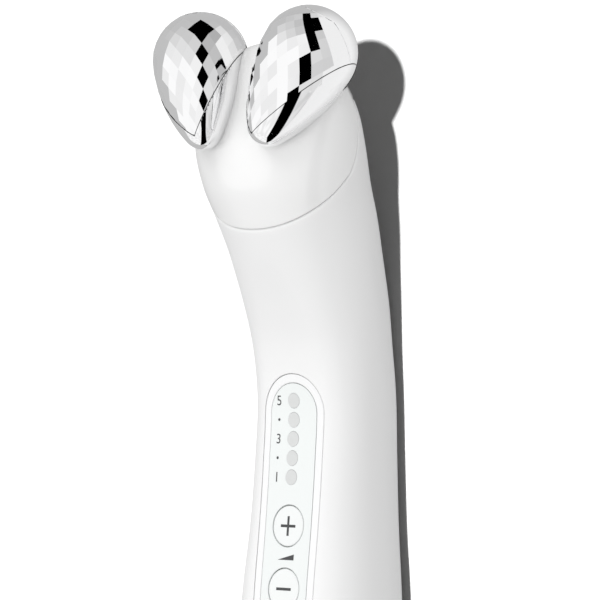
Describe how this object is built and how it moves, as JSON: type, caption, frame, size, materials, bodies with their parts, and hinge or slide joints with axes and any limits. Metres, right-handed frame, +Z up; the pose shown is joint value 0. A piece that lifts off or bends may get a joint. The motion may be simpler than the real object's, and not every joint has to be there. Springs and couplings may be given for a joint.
{
  "type": "facial toning device",
  "caption": "Curved white handheld facial toning wand with two faceted chrome teardrop electrodes on an angled head, level lights and push buttons on a flush front panel.",
  "frame": {"origin": "on the surface that the device lies on, under the middle of its width and length", "axes": "+X to the device's right seen from its panel, +Y along the handle to the head, +Z up out of the panel; the device lies on its back"},
  "size_m": [0.0544, 0.171, 0.0487],
  "materials": {
    "satin_white": "satin, very fine spark-eroded grain",
    "gloss_white": "smooth semi-gloss",
    "diamond_chrome": "mirror plating over flat-cut facets",
    "panel_white": "smooth semi-gloss",
    "plate_white": "satin, faint cool tint",
    "button_white": "satin",
    "window_grey": "frosted light pipe, unlit",
    "membrane_silicone": "matt",
    "seal_rubber": "matt",
    "inner_white": "moulded, plain",
    "chassis_grey": "moulded, plain",
    "board_green": "solder mask",
    "led_ivory": "clear resin",
    "switch_black": "moulded",
    "ferrite": "sintered",
    "cell_blue": "metal can in a thin shrink sleeve",
    "lead_red": "insulation",
    "brass": "turned",
    "screw_steel": "zinc plated",
    "port_steel": "stamped"
  },
  "bodies": {
    "body": {"handle_shell": "satin_white", "head_cover": "gloss_white", "electrode_left": "diamond_chrome", "electrode_right": "diamond_chrome", "electrode_stud_left": "brass", "electrode_stud_right": "brass", "electrode_nut_left": "screw_steel", "electrode_nut_right": "screw_steel", "head_gasket": "seal_rubber", "head_bulkhead": "inner_white", "head_screws": "screw_steel", "panel_bezel": "panel_white", "panel_plate": "plate_white", "level_window_1": "window_grey", "level_window_2": "window_grey", "level_window_3": "window_grey", "level_window_4": "window_grey", "level_window_5": "window_grey", "keypad_membrane": "membrane_silicone", "main_board": "board_green", "board_leds": "led_ivory", "plus_switch": "switch_black", "minus_switch": "switch_black", "power_switch": "switch_black", "controller_chip": "switch_black", "booster_coil": "ferrite", "board_screws": "screw_steel", "chassis": "chassis_grey", "battery_cell": "cell_blue", "battery_leads": "lead_red", "electrode_lead_left": "lead_red", "electrode_lead_right": "lead_red", "port_board": "board_green", "charging_port": "port_steel", "bottom_cap": "satin_white", "cap_seal": "seal_rubber"},
    "plus_button": {"plus_button": "button_white"},
    "minus_button": {"minus_button": "button_white"},
    "power_button": {"power_button": "button_white"}
  },
  "joints": [
    {"name": "plus_press", "type": "slide", "parent": "body", "child": "plus_button", "axis": [0, -0.104, -0.9946], "range_m": [0, 0.0006], "stiffness_N_per_m": 900},
    {"name": "minus_press", "type": "slide", "parent": "body", "child": "minus_button", "axis": [0, -0.0991, -0.9951], "range_m": [0, 0.0006], "stiffness_N_per_m": 900},
    {"name": "power_press", "type": "slide", "parent": "body", "child": "power_button", "axis": [0, -0.0772, -0.997], "range_m": [0, 0.0006], "stiffness_N_per_m": 900}
  ]
}
